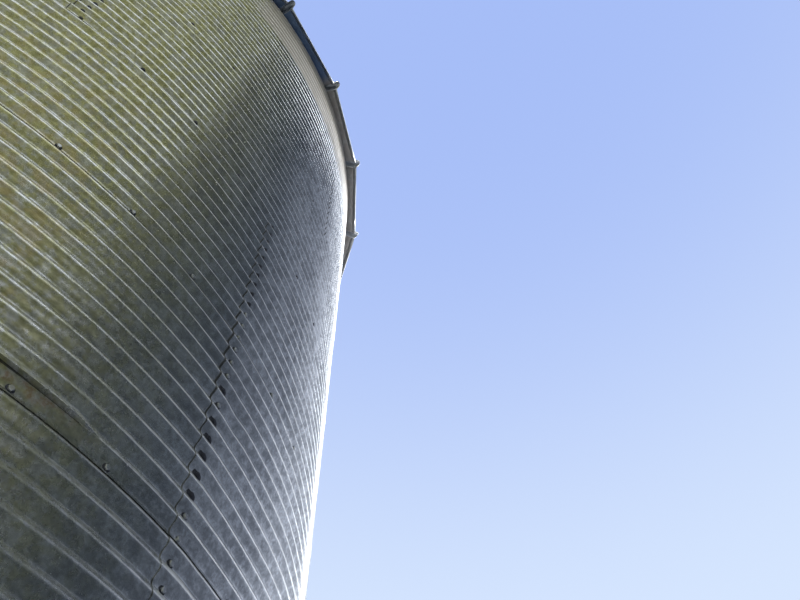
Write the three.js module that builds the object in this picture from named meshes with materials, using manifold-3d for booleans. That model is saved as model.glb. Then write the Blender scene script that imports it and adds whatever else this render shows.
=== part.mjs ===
// Corrugated steel grain silo: eight wall rings, a ribbed cone roof, a peak collar and its cap.
// Millimetres, +Z up. The origin is the centre of the silo on the ground plane.
// An azimuth of 0 degrees faces -Y, and azimuths grow towards +X.
import * as THREE from 'three';
import { mergeVertices } from 'three/addons/utils/BufferGeometryUtils.js';
import Module from 'manifold-3d';

const wasm = await Module();
wasm.setup();

// Wall
const CORRUGATION_PITCH = 67.733;
const CORRUGATIONS_PER_RING = 12;
const RING_COUNT = 8;
const WALL_RADIUS = 2274;
const CORRUGATION_DEPTH = 12.7;
const LAP_HEIGHT = 24;
const LAP_THICKNESS = 3;
const FITTING_GAP = 0.3;
// Azimuth of the first upright sheet seam of each ring, lowest ring first
const SEAM_AZIMUTHS = [17.8, 17.8, 17.8, 17.8, 17.8, -9.36, 30.9, -9.36];

// Roof
const ROOF_PANEL_COUNT = 24;
const FIRST_RIB_AZIMUTH = 5.64;
const ROOF_SLOPE = 30;
const PANEL_THICKNESS = 4;
const EAVE_RADIUS = 2343;
const EAVE_LIP_DEPTH = 18;
const RIB_EAVE_RADIUS = 2357;
const RIB_EAVE_WIDTH = 50;
const RIB_PEAK_WIDTH = 28;
const RIB_HEIGHT = 60;
const RIB_PEAK_HEIGHT = 44;
const RIB_TOP_SHARE = 0.66;
const PANEL_PEAK_RADIUS = 340;
const RIB_PEAK_RADIUS = 352;

// Peak
const COLLAR_RADIUS = 330;
const COLLAR_THICKNESS = 6;
const COLLAR_RISE = 130;
const COLLAR_FLANGE_RADIUS = 430;
const COLLAR_FLANGE_THICKNESS = 5;
const CAP_RADIUS = 374;
const CAP_SLOPE = 22;
const CAP_THICKNESS = 6;
const CAP_SKIRT = 42;

// Foot ring, a rolled angle round the bottom of the wall
const FOOT_LEG = 45;
const FOOT_THICKNESS = 6;

const RING_HEIGHT = CORRUGATION_PITCH * CORRUGATIONS_PER_RING;
const WALL_TOP = RING_HEIGHT * RING_COUNT;
const WALL_INSIDE = WALL_RADIUS - CORRUGATION_DEPTH / 2;
const WALL_OUTSIDE = WALL_RADIUS + CORRUGATION_DEPTH / 2;
const PANEL_ANGLE = 360 / ROOF_PANEL_COUNT;
const WALL_FACET = PANEL_ANGLE / 2;
const SLOPE = Math.tan(THREE.MathUtils.degToRad(ROOF_SLOPE));
// Height at which the underside of every roof panel would meet the silo's axis
const ROOF_APEX = WALL_TOP + FITTING_GAP + SLOPE * WALL_OUTSIDE;

const steel = (color, roughness) =>
  new THREE.MeshStandardMaterial({ color, roughness, metalness: 0.85 });

const toRadians = THREE.MathUtils.degToRad;
const direction = (azimuth) =>
  new THREE.Vector3(Math.sin(toRadians(azimuth)), -Math.cos(toRadians(azimuth)), 0);
const across = (azimuth) =>
  new THREE.Vector3(Math.cos(toRadians(azimuth)), Math.sin(toRadians(azimuth)), 0);

// One closed geometry from positions and triangles, turned so that its faces point out
function closedGeometry(points, triangles) {
  let volume = 0;
  for (const [a, b, c] of triangles) {
    volume += points[a].dot(new THREE.Vector3().crossVectors(points[b], points[c]));
  }
  const facing = volume > 0 ? triangles : triangles.map(([a, b, c]) => [a, c, b]);
  const geometry = new THREE.BufferGeometry();
  geometry.setAttribute(
    'position',
    new THREE.Float32BufferAttribute(points.flatMap((p) => [p.x, p.y, p.z]), 3),
  );
  geometry.setIndex(facing.flat());
  return geometry;
}

// A solid through a row of like outlines, closed at both ends by the outline's own triangles
function loft(outlines, flatOutline) {
  const count = flatOutline.length;
  const points = outlines.flat();
  const triangles = [];
  for (let row = 0; row < outlines.length - 1; row += 1) {
    for (let i = 0; i < count; i += 1) {
      const next = (i + 1) % count;
      const low = row * count;
      const high = low + count;
      triangles.push([low + i, low + next, high + next], [low + i, high + next, high + i]);
    }
  }
  const last = (outlines.length - 1) * count;
  const outlineArea = THREE.ShapeUtils.area(flatOutline);
  for (const corners of THREE.ShapeUtils.triangulateShape(flatOutline, [])) {
    const sameTurn = THREE.ShapeUtils.area(corners.map((i) => flatOutline[i])) * outlineArea > 0;
    const [a, b, c] = sameTurn ? corners : [...corners].reverse();
    triangles.push([a, c, b], [last + a, last + b, last + c]);
  }
  return closedGeometry(points, triangles);
}

// A full ring or cap turned about the silo's axis, with its flats between the given azimuths
function revolve(profile, steps, firstAzimuth) {
  const geometry = new THREE.LatheGeometry(
    profile.map(([radius, z]) => new THREE.Vector2(radius, z)),
    steps,
  );
  geometry.rotateX(Math.PI / 2);
  geometry.rotateZ(toRadians(firstAzimuth));
  geometry.deleteAttribute('normal');
  geometry.deleteAttribute('uv');
  const merged = mergeVertices(geometry, 1e-3);
  const index = merged.getIndex().array;
  const triangles = [];
  for (let i = 0; i < index.length; i += 3) {
    const [a, b, c] = [index[i], index[i + 1], index[i + 2]];
    if (a !== b && b !== c && a !== c) triangles.push([a, b, c]);
  }
  const position = merged.getAttribute('position');
  const points = [];
  for (let i = 0; i < position.count; i += 1) {
    points.push(new THREE.Vector3().fromBufferAttribute(position, i));
  }
  return closedGeometry(points, triangles);
}

function toManifold(geometry) {
  const merged = mergeVertices(geometry, 1e-4);
  return new wasm.Manifold(new wasm.Mesh({
    numProp: 3,
    vertProperties: new Float32Array(merged.getAttribute('position').array),
    triVerts: new Uint32Array(merged.getIndex().array),
  }));
}

function joined(geometries) {
  const solid = geometries.map(toManifold).reduce((sum, piece) => sum.add(piece));
  const mesh = solid.getMesh();
  const geometry = new THREE.BufferGeometry();
  geometry.setAttribute('position', new THREE.BufferAttribute(mesh.vertProperties, 3));
  geometry.setIndex(new THREE.BufferAttribute(mesh.triVerts, 1));
  return geometry;
}

// Wall rings

// Share of the nominal radius at an azimuth of the many-sided wall, 1 at its corners
function facetShare(azimuth) {
  const turns = (azimuth - FIRST_RIB_AZIMUTH) / WALL_FACET;
  const fromMiddle = (turns - Math.floor(turns) - 0.5) * WALL_FACET;
  return Math.cos(toRadians(WALL_FACET / 2)) / Math.cos(toRadians(fromMiddle));
}

// The corner azimuths of the wall between two seams, with the seams themselves
function wallAzimuths(start, end) {
  const gapAngle = THREE.MathUtils.radToDeg(FITTING_GAP / WALL_RADIUS);
  const azimuths = [start];
  const firstStep = Math.ceil((start + gapAngle - FIRST_RIB_AZIMUTH) / WALL_FACET);
  for (let step = firstStep; ; step += 1) {
    const azimuth = FIRST_RIB_AZIMUTH + step * WALL_FACET;
    if (azimuth >= end - 2 * gapAngle) break;
    azimuths.push(azimuth);
  }
  azimuths.push(end - gapAngle);
  return azimuths;
}

// Section of a ring as [radius, height]: its foot laps outside the ring below
function ringSection(ring) {
  const bottom = ring * RING_HEIGHT;
  const top = bottom + RING_HEIGHT;
  const hasRingBelow = ring > 0;
  const hasRingAbove = ring < RING_COUNT - 1;
  const section = [[WALL_INSIDE, bottom]];
  if (hasRingAbove) {
    const lapInside = WALL_OUTSIDE - LAP_THICKNESS - FITTING_GAP;
    const lapStart = top - LAP_HEIGHT - FITTING_GAP;
    section.push(
      [WALL_INSIDE, top - FITTING_GAP],
      [lapInside, top - FITTING_GAP],
      [lapInside, lapStart],
      [WALL_OUTSIDE, lapStart],
    );
  } else {
    section.push([WALL_INSIDE, top], [WALL_OUTSIDE, top]);
  }
  if (hasRingBelow) {
    section.push(
      [WALL_OUTSIDE, bottom - LAP_HEIGHT],
      [WALL_OUTSIDE - LAP_THICKNESS, bottom - LAP_HEIGHT],
      [WALL_OUTSIDE - LAP_THICKNESS, bottom],
    );
  } else {
    section.push([WALL_OUTSIDE, bottom]);
  }
  return section;
}

function halfRing(ring, start) {
  const section = ringSection(ring);
  const outlines = wallAzimuths(start, start + 180).map((azimuth) => {
    const out = direction(azimuth).multiplyScalar(facetShare(azimuth));
    return section.map(([radius, z]) => out.clone().multiplyScalar(radius).setZ(z));
  });
  return loft(outlines, section.map(([radius, z]) => new THREE.Vector2(radius, z)));
}

function addWall(silo) {
  const material = steel(0x8f9492, 0.45);
  for (let ring = 0; ring < RING_COUNT; ring += 1) {
    ['a', 'b'].forEach((half, index) => {
      const start = SEAM_AZIMUTHS[ring] + 180 * index;
      const mesh = new THREE.Mesh(halfRing(ring, start), material);
      mesh.name = `wall_ring_${ring + 1}_half_${half}`;
      silo.add(mesh);
    });
  }
}

// Roof panels

// Height of a panel's underside at a point, for the panel whose middle is at an azimuth
const undersideAt = (point, middle) => ROOF_APEX - SLOPE * point.dot(direction(middle));

// Half the width of a rib at a radius
function ribHalfWidth(radius) {
  const share = (radius - RIB_PEAK_RADIUS) / (RIB_EAVE_RADIUS - RIB_PEAK_RADIUS);
  return THREE.MathUtils.lerp(RIB_PEAK_WIDTH, RIB_EAVE_WIDTH, share) / 2;
}

// The flat sheet of a panel, from inside its own rib to just short of the next one
function panelPlate(azimuth) {
  const middle = azimuth + PANEL_ANGLE / 2;
  const next = azimuth + PANEL_ANGLE;
  const corner = (apothem, side) => {
    const radius = apothem / Math.cos(toRadians(PANEL_ANGLE / 2));
    const edge = side < 0
      ? direction(azimuth).multiplyScalar(radius)
      : direction(next).multiplyScalar(radius)
        .addScaledVector(across(next), -ribHalfWidth(radius) - 2 * FITTING_GAP);
    const along = direction(middle);
    return edge.addScaledVector(along, apothem - edge.dot(along));
  };
  const plan = [
    corner(EAVE_RADIUS, -1),
    corner(EAVE_RADIUS, 1),
    corner(PANEL_PEAK_RADIUS, 1),
    corner(PANEL_PEAK_RADIUS, -1),
  ];
  const flat = plan.map((p) => new THREE.Vector2(p.x, p.y));
  const lower = plan.map((p) => p.clone().setZ(undersideAt(p, middle)));
  const upper = lower.map((p) => p.clone().setZ(p.z + PANEL_THICKNESS));
  return loft([lower, upper], flat);
}

// The turned-down edge of a panel at the eave
function eaveLip(azimuth) {
  const middle = azimuth + PANEL_ANGLE / 2;
  const out = direction(middle);
  const side = across(middle);
  const halfChord = EAVE_RADIUS * Math.tan(toRadians(PANEL_ANGLE / 2));
  const clear = ribHalfWidth(EAVE_RADIUS) + 1;
  const plan = [
    [EAVE_RADIUS - PANEL_THICKNESS, clear - halfChord],
    [EAVE_RADIUS, clear - halfChord],
    [EAVE_RADIUS, halfChord - clear],
    [EAVE_RADIUS - PANEL_THICKNESS, halfChord - clear],
  ].map(([away, sideways]) => out.clone().multiplyScalar(away).addScaledVector(side, sideways));
  const top = undersideAt(out.clone().multiplyScalar(EAVE_RADIUS), middle) + 1;
  const lower = plan.map((p) => p.clone().setZ(top - EAVE_LIP_DEPTH));
  const upper = plan.map((p) => p.clone().setZ(top));
  return loft([lower, upper], plan.map((p) => new THREE.Vector2(p.x, p.y)));
}

// The raised rib over a panel's edge, with its ends cut square to the slope
function roofRib(azimuth) {
  const fall = SLOPE * Math.cos(toRadians(PANEL_ANGLE / 2));
  const down = direction(azimuth).setZ(-fall).normalize();
  const side = across(azimuth);
  const up = new THREE.Vector3().crossVectors(down, side).normalize();
  if (up.z < 0) up.negate();
  const section = (radius, height) => {
    const half = ribHalfWidth(radius);
    const foot = direction(azimuth).multiplyScalar(radius).setZ(ROOF_APEX - fall * radius);
    return [
      [-half, 0],
      [half, 0],
      [half * RIB_TOP_SHARE, height],
      [-half * RIB_TOP_SHARE, height],
    ].map(([sideways, high]) => foot.clone().addScaledVector(side, sideways).addScaledVector(up, high));
  };
  const outlines = [section(RIB_PEAK_RADIUS, RIB_PEAK_HEIGHT), section(RIB_EAVE_RADIUS, RIB_HEIGHT)];
  return loft(outlines, [[-1, 0], [1, 0], [1, 1], [-1, 1]].map(([x, y]) => new THREE.Vector2(x, y)));
}

function addRoof(silo) {
  const material = steel(0x85888a, 0.5);
  for (let panel = 0; panel < ROOF_PANEL_COUNT; panel += 1) {
    const azimuth = FIRST_RIB_AZIMUTH + panel * PANEL_ANGLE;
    const mesh = new THREE.Mesh(
      joined([panelPlate(azimuth), eaveLip(azimuth), roofRib(azimuth)]),
      material,
    );
    mesh.name = `roof_panel_${String(panel + 1).padStart(2, '0')}`;
    silo.add(mesh);
  }
}

// Peak collar: a sloped flange under the panels and an upright neck through the opening
function addPeakCollar(silo) {
  const undersideOf = (radius) => ROOF_APEX - SLOPE * radius - FITTING_GAP;
  const corner = 1 / Math.cos(toRadians(PANEL_ANGLE / 2));
  const inside = COLLAR_RADIUS - COLLAR_THICKNESS;
  const flangeStep = COLLAR_FLANGE_THICKNESS;
  const neckTop = ROOF_APEX - SLOPE * COLLAR_RADIUS + COLLAR_RISE;
  const profile = [
    [inside, undersideOf(COLLAR_RADIUS) - flangeStep],
    [COLLAR_RADIUS, undersideOf(COLLAR_RADIUS) - flangeStep],
    [COLLAR_FLANGE_RADIUS, undersideOf(COLLAR_FLANGE_RADIUS) - flangeStep],
    [COLLAR_FLANGE_RADIUS, undersideOf(COLLAR_FLANGE_RADIUS)],
    [COLLAR_RADIUS, undersideOf(COLLAR_RADIUS)],
    [COLLAR_RADIUS, neckTop],
    [inside, neckTop],
  ];
  const closed = [...profile, profile[0]].map(([radius, z]) => [radius * corner, z]);
  const mesh = new THREE.Mesh(
    revolve(closed, ROOF_PANEL_COUNT, FIRST_RIB_AZIMUTH),
    steel(0x7d8082, 0.5),
  );
  mesh.name = 'peak_collar';
  silo.add(mesh);
  return neckTop;
}

// Peak cap: a shallow cone with a skirt, resting on the rim of the neck
function addPeakCap(silo, neckTop) {
  const fall = Math.tan(toRadians(CAP_SLOPE));
  const corner = 1 / Math.cos(toRadians(PANEL_ANGLE / 2));
  const rim = COLLAR_RADIUS * corner;
  const insideApex = neckTop + FITTING_GAP + fall * rim;
  const skirtInside = CAP_RADIUS - CAP_THICKNESS;
  const skirtBottom = insideApex - fall * CAP_RADIUS - CAP_SKIRT;
  const profile = [
    [0, insideApex],
    [skirtInside, insideApex - fall * skirtInside],
    [skirtInside, skirtBottom],
    [CAP_RADIUS, skirtBottom],
    [CAP_RADIUS, insideApex - fall * CAP_RADIUS + CAP_THICKNESS],
    [0, insideApex + CAP_THICKNESS],
  ];
  const mesh = new THREE.Mesh(
    revolve(profile, ROOF_PANEL_COUNT, FIRST_RIB_AZIMUTH),
    steel(0x8a8d8f, 0.5),
  );
  mesh.name = 'peak_cap';
  silo.add(mesh);
}

// Foot ring: the upright leg stands against the wall and the flat leg lies on the ground
function addFootRing(silo) {
  const inside = WALL_OUTSIDE + FITTING_GAP;
  const profile = [
    [inside, 0],
    [inside + FOOT_LEG, 0],
    [inside + FOOT_LEG, FOOT_THICKNESS],
    [inside + FOOT_THICKNESS, FOOT_THICKNESS],
    [inside + FOOT_THICKNESS, FOOT_LEG],
    [inside, FOOT_LEG],
    [inside, 0],
  ];
  const mesh = new THREE.Mesh(
    revolve(profile, 2 * ROOF_PANEL_COUNT, FIRST_RIB_AZIMUTH),
    steel(0x6f7069, 0.6),
  );
  mesh.name = 'foot_ring';
  silo.add(mesh);
}

const silo = new THREE.Group();
silo.name = 'grain_silo';
addFootRing(silo);
addWall(silo);
addRoof(silo);
const neckTop = addPeakCollar(silo);
addPeakCap(silo, neckTop);

export default silo;
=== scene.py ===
"""Corrugated steel grain silo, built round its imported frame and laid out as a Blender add-on."""

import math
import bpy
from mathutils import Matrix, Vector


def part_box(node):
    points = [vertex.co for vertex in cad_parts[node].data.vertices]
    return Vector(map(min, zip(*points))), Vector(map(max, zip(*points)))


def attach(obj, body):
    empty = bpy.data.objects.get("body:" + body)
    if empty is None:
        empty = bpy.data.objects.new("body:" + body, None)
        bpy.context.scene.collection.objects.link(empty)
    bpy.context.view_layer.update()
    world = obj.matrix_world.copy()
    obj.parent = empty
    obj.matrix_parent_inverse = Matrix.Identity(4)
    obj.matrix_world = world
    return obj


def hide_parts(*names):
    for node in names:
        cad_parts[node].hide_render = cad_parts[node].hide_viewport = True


bl_info = {
    "name": "Corrugated Grain Silo",
    "version": (1, 0, 0),
    "blender": (4, 5, 0),
    "location": "View3D > Sidebar > Silo",
    "description": "Builds a bolted, corrugated steel grain silo and a plain studio for it",
    "category": "Add Mesh",
}

import bpy
import numpy as np
from bpy.props import (
    FloatProperty,
    FloatVectorProperty,
    IntProperty,
    PointerProperty,
)
from mathutils import Matrix, Vector

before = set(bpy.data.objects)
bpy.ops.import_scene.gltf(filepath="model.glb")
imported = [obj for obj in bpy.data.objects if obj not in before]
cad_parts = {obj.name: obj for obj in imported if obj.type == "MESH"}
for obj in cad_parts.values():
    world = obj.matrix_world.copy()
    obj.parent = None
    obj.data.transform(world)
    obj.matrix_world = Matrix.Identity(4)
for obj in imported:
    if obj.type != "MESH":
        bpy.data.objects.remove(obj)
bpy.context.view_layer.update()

BODY = "root"
RING_COUNT = sum(name.startswith("wall_ring_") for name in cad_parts) // 2
PANEL_COUNT = sum(name.startswith("roof_panel_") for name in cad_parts)
HALVES = ("a", "b")


def node_points(name):
    """Corner points of a CAD node, in metres."""
    return np.array([vertex.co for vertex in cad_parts[name].data.vertices])


def node_radii(name):
    """Smallest and largest distance of a CAD node's corners from the silo's axis."""
    radii = np.hypot(*node_points(name)[:, :2].T)
    return float(radii.min()), float(radii.max())


WALL_OUTSIDE = node_radii("wall_ring_1_half_a")[1]
WALL_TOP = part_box(f"wall_ring_{RING_COUNT}_half_a")[1].z
RING_HEIGHT = WALL_TOP / RING_COUNT
# Azimuth 0 faces -Y and azimuths grow towards +X; the first seam of each ring, lowest ring first
SEAM_AZIMUTHS = (17.8, 17.8, 17.8, 17.8, 17.8, -9.36, 30.9, -9.36)
FIRST_RIB_AZIMUTH = 5.64


# Sizes and colours that a user would change


def length_setting(name, description, default):
    """A property that holds a length in metres."""
    return FloatProperty(name=name, description=description, default=default, unit="LENGTH")


def angle_setting(name, description, degrees):
    """A property that holds an angle, given in degrees."""
    return FloatProperty(
        name=name, description=description, default=math.radians(degrees), subtype="ANGLE"
    )


def count_setting(name, description, default, smallest):
    """A property that holds a whole number."""
    return IntProperty(name=name, description=description, default=default, min=smallest)


def colour_setting(name, description, *rgb, brightest=1.0):
    """A property that holds an opaque colour, or a light that may be brighter than white."""
    return FloatVectorProperty(
        name=name, description=description, default=(*rgb, 1.0), max=brightest, size=4,
        subtype="COLOR",
    )


class WallSizes(bpy.types.PropertyGroup):
    """The corrugated sheets of the wall."""

    corrugations: count_setting("Corrugations", "Corrugations in one ring", 12, 4)
    depth: length_setting("Depth", "Crest to valley", 0.0127)
    sheets: count_setting("Sheets", "Sheets in one ring", 6, 2)
    gauge: length_setting("Gauge", "Thickness of a sheet", 0.0013)
    ring_lift: length_setting("Ring lap", "How far a low ring's foot stands off", 0.0028)
    tight_lift: length_setting("Tight lap", "How far a high ring's foot stands off", 0.0017)
    seam_lift: length_setting("Seam lap", "How far a seam's edge stands off", 0.0022)
    levels: count_setting("Levels", "Mesh rows to a corrugation", 8, 4)
    wander: length_setting("Wander", "How much the sheets bow in and out", 0.0018)


class BoltSizes(bpy.types.PropertyGroup):
    """Bolts of the ring laps and the upright seams."""

    per_sheet: count_setting("Per sheet", "Ring bolts to a sheet", 9, 2)
    washer_radius: length_setting("Washer", "Radius of the washer", 0.0113)
    washer_height: length_setting("Washer height", "Thickness of the washer", 0.0022)
    head_radius: length_setting("Head", "Corner radius of the hexagon head", 0.0076)
    head_height: length_setting("Head height", "Height of the head", 0.0052)


class RoofSizes(bpy.types.PropertyGroup):
    """Roof panels, their ribs and their turned-down eave edge."""

    slope: angle_setting("Slope", "Pitch of the roof", 30.0)
    gauge: length_setting("Gauge", "Thickness of a panel", 0.0016)
    eave_radius: length_setting("Eave", "Axis to the middle of an eave edge", 2.343)
    lip_depth: length_setting("Lip", "Depth of the turned-down edge", 0.017)
    lip_return: length_setting("Return", "Width of the lip's inward return", 0.026)
    rib_end_radius: length_setting("Rib end", "Axis to the foot of a rib's end", 2.357)
    rib_width: length_setting("Rib width", "Width of a rib at the eave", 0.050)
    rib_peak_width: length_setting("Rib peak width", "Width of a rib at the peak", 0.028)
    rib_height: length_setting("Rib height", "Height of a rib at the eave", 0.060)
    rib_peak_height: length_setting("Rib peak height", "Height of a rib at the peak", 0.044)
    plate_peak_radius: length_setting("Panel top", "Axis to a panel's upper edge", 0.340)
    rib_peak_radius: length_setting("Rib top", "Axis to a rib's upper end", 0.352)


class FinishColours(bpy.types.PropertyGroup):
    """Main colours of the weathered zinc and its grime, and of its painted light and shade."""

    zinc: colour_setting("Zinc", "Clean galvanised sheet", 0.60, 0.625, 0.65)
    dull_zinc: colour_setting("Dull zinc", "Weathered galvanised sheet", 0.33, 0.35, 0.37)
    algae: colour_setting("Algae", "Olive film on the damp side", 0.60, 0.60, 0.35)
    earth: colour_setting("Earth", "Brown blotches on the damp side", 0.46, 0.37, 0.19)
    rust: colour_setting("Rust", "Rust at laps", 0.17, 0.085, 0.035)
    # Grime and painted shade: the near-black in the laps and beside the seams' edges, and painted
    # shadow under the crease
    lap_grime_and_shade: colour_setting("Grime", "Dark grime in the laps", 0.018, 0.018, 0.018)
    # Painted shade: the dark blue of the eave's underside on its shaded side
    shade: colour_setting("Shade film", "Dark film on the shaded part of the eave", 0.11, 0.17, 0.30)
    dust: colour_setting("Dust", "Brown dust under the eave", 0.27, 0.25, 0.235)
    # Painted sunlight: the cream of the band of light on the wall's top under the eave
    painted_sunlit_band: colour_setting("Sheltered", "Pale zinc that the eave shelters", 0.98, 0.93, 0.86)
    # Painted highlights: white, and olive on the damp side, that stand in for the sky's reflection on
    # the corrugations' upward faces
    painted_highlight: colour_setting("Bloom", "White bloom of the zinc on upward faces", 0.88, 0.91, 0.97)
    damp_painted_highlight: colour_setting("Damp bloom", "Bloom on the damp side", 0.66, 0.67, 0.50)


BRIGHTEST_SKY = 8.0


class StudioSizes(bpy.types.PropertyGroup):
    """The camera and the studio's light."""

    lens: FloatProperty(
        name="Lens", description="Focal length in millimetres", default=31.736, unit="CAMERA"
    )
    distance: length_setting("Distance", "Camera to the silo's axis", 3.4342)
    azimuth: angle_setting("Azimuth", "Where the camera stands round the silo", -0.476)
    height: length_setting("Height", "Camera above the ground", 1.3344)
    heading: angle_setting("Heading", "Turn from +Y towards +X", 51.326)
    elevation: angle_setting("Elevation", "Upward tilt", 57.359)
    roll: angle_setting("Roll", "Turn about the line of sight", -1.679)
    backdrop: colour_setting("Backdrop", "Plain colour behind the silo", 0.38, 0.51, 0.93)
    low_backdrop: colour_setting("Low backdrop", "Backdrop lower down", 0.68, 0.80, 1.0)
    sky: colour_setting("Sky", "Light from above", 1.40, 1.46, 1.53, brightest=BRIGHTEST_SKY)
    haze: colour_setting("Haze", "Light round the key light", 5.1, 5.25, 5.5, brightest=BRIGHTEST_SKY)
    far_sky: colour_setting(
        "Far sky", "Light from above the +Y side", 0.80, 0.88, 1.02, brightest=BRIGHTEST_SKY
    )
    near_side: colour_setting("Near side", "Low light from the -Y side", 0.40, 0.41, 0.29)
    beside_flag: colour_setting("Beside the flag", "Low light from beside the flag", 0.21, 0.225, 0.175)
    far_side: colour_setting("Far side", "Low light from the +Y side", 0.50, 0.50, 0.52)
    key_heading: angle_setting("Key heading", "Where the key light stands, from +Y towards +X", 97.0)
    key_elevation: angle_setting("Key elevation", "How high the key light stands", 31.0)
    key_strength: FloatProperty(
        name="Key strength", description="Strength of the key light", default=4.0
    )


# Mesh making


def direction(azimuth):
    """Unit vector that points away from the axis at an azimuth in degrees."""
    turn = math.radians(azimuth)
    return Vector((math.sin(turn), -math.cos(turn), 0.0))


def across(azimuth):
    """Unit vector along the wall at an azimuth, towards greater azimuths."""
    turn = math.radians(azimuth)
    return Vector((math.cos(turn), math.sin(turn), 0.0))


def smooth_step(low, high, value):
    """0 below low, 1 above high, and a soft rise between them."""
    share = np.clip((value - low) / (high - low), 0.0, 1.0)
    return share * share * (3.0 - 2.0 * share)


def shell(outer, inner):
    """Points and faces of a thin closed shell between two grids of points."""
    rows, columns = outer.shape[:2]
    count = rows * columns
    index = np.arange(count).reshape(rows, columns)
    face = np.stack(
        [index[:-1, :-1], index[:-1, 1:], index[1:, 1:], index[1:, :-1]], axis=-1
    ).reshape(-1, 4)
    border = np.concatenate(
        [index[0, :-1], index[:-1, -1], index[-1, :0:-1], index[:0:-1, 0]]
    )
    ahead = np.roll(border, -1)
    rim = np.stack([ahead, border, border + count, ahead + count], axis=-1)
    faces = np.concatenate([face, face[:, ::-1] + count, rim])
    return np.concatenate([outer.reshape(-1, 3), inner.reshape(-1, 3)]), faces


def merged(parts):
    """Points and faces of several parts as one list of each."""
    points, faces, start = [], [], 0
    for part_points, part_faces in parts:
        points.extend(np.asarray(part_points).tolist())
        faces.extend([[int(i) + start for i in face] for face in part_faces])
        start += len(part_points)
    return points, faces


def add_piece(name, points, faces, materials, sharp_angle=40.0):
    """A new smooth-shaded mesh object with sharp folds, which rides on the silo's body."""
    mesh = bpy.data.meshes.new(name)
    mesh.from_pydata(points, [], faces)
    mesh.validate()
    for material in materials:
        mesh.materials.append(material)
    mesh.shade_smooth()
    mesh.set_sharp_from_angle(angle=math.radians(sharp_angle))
    piece = bpy.data.objects.new(name, mesh)
    bpy.context.scene.collection.objects.link(piece)
    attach(piece, BODY)
    return piece


def thicken(piece, gauge):
    """Gives an open sheet its thickness, inwards from its faces."""
    modifier = piece.modifiers.new("gauge", "SOLIDIFY")
    modifier.thickness = gauge
    modifier.offset = -1.0
    modifier.use_even_offset = True
    graph = bpy.context.evaluated_depsgraph_get()
    mesh = bpy.data.meshes.new_from_object(piece.evaluated_get(graph))
    piece.modifiers.clear()
    piece.data = mesh


def turned(profile, steps):
    """Points and faces of a closed ring or cap turned about the silo's axis."""
    turns = np.linspace(0.0, 2.0 * math.pi, steps, endpoint=False)
    count = len(profile)
    points = [
        (radius * math.sin(turn), -radius * math.cos(turn), z)
        for turn in turns
        for radius, z in profile
    ]
    faces = []
    for step in range(steps):
        here = step * count
        there = (step + 1) % steps * count
        for i in range(count):
            ahead = (i + 1) % count
            faces.append([here + i, there + i, there + ahead, here + ahead])
    return points, faces


def arc_points(centre, radius, start, end, steps):
    """Points on an arc in the radius and height plane, angles in degrees from outwards."""
    return [
        (
            centre[0] + radius * math.cos(math.radians(angle)),
            centre[1] + radius * math.sin(math.radians(angle)),
        )
        for angle in np.linspace(start, end, steps)
    ]


# Wall sheets


# Seed of the sheets' slow bowing, and its waves: count round the silo, climb in radians to a metre
# and share
WANDER_SEED = 47
WANDER_WAVES = (
    (9, 2.1, 0.34),
    (17, 5.3, 0.30),
    (31, 11.0, 0.22),
    (53, 23.0, 0.16),
    (97, 31.0, 0.09),
)
# Dents as azimuth, height, half width along the wall, half height, depth inwards
DENTS = (
    (19.8, 2.93, 0.055, 0.055, 0.0065),
    (26.0, 2.72, 0.16, 0.20, 0.005),
    (12.5, 5.10, 0.20, 0.30, 0.005),
)
# How far a dent reaches, in half widths, and its mesh columns' step and gap to others, in degrees
DENT_SPREAD = 2.2
DENT_STEP = 0.6
COLUMN_GAP = 0.2
# The folded crease over the lap at the fourth ring's foot, which is ring 3 counted from 0: azimuths
# between which its left end rises, its right end and the degrees over which that fades, the height of
# its edge and how far it stands out
CREASED_RING = 3
CREASE_START = (-9.0, -2.0)
CREASE_END = 9.4
CREASE_FADE = 1.6
CREASE_HEIGHT = 2.4787
CREASE_REACH = 0.009
# Heights over that edge: where each part of the section starts and is full, and extra mesh rows
CREASE_FOLD = (-0.001, 0.0015)
CREASE_TOP = (0.050, 0.010)
HOLLOW_FOOT = (-0.034, -0.004)
HOLLOW_TOP = (0.0, -0.001)
FOLD_ROWS = np.array([-0.004, -0.0015, 0.0, 0.0015, 0.004])
# Depth of the hollow as a share of how far the crease stands out
HOLLOW_SHARE = 0.6
# The first ring, counted from 0, whose lap is pulled up tight
FIRST_TIGHT_RING = 4
# How far a sheet's left edge leads its seam's bolts, its right end runs past the next ones, and the
# stand-off of its left edge fades, in degrees
SEAM_EDGE_LEAD = 0.9
SEAM_END_REACH = 0.6
SEAM_FADE = (1.7, 3.2)
# Mesh columns at a sheet's left edge, then the first of its even ones, in degrees, and their count
EDGE_COLUMNS = (0.0, 1.6, 2.4, 3.2)
FIRST_EVEN_COLUMN = 4.8
EVEN_COLUMNS = 34
# Mesh rows past a ring's ends, and heights between which its lap's stand-off fades, in corrugations
LAP_ROWS = 2
LAP_FADE = (0.45, 1.2)
# Weathering of the dull third ring, and the range and the seed of the other sheets' weathering
DULL_RING = 2
DULL_TONE = 0.12
SHEET_TONES = (0.3, 0.9)
TONE_SEED = 700


def wander_of(azimuths, heights):
    """Slow bowing of the sheets, in and out, from -1 to 1, the same on every run."""
    bow = np.zeros((len(heights), len(azimuths)))
    draw = np.random.default_rng(WANDER_SEED)
    turn = np.radians(azimuths)[None, :]
    rise = heights[:, None]
    for waves, climb, share in WANDER_WAVES:
        shift, tilt = draw.uniform(0.0, 2.0 * math.pi, 2)
        bow += share * np.sin(waves * turn + climb * rise + shift) * np.cos(climb * rise + tilt)
    return bow


def from_front(azimuths):
    """Azimuths as turns of less than half a circle from the -Y side."""
    return (azimuths + 180.0) % 360.0 - 180.0


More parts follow.
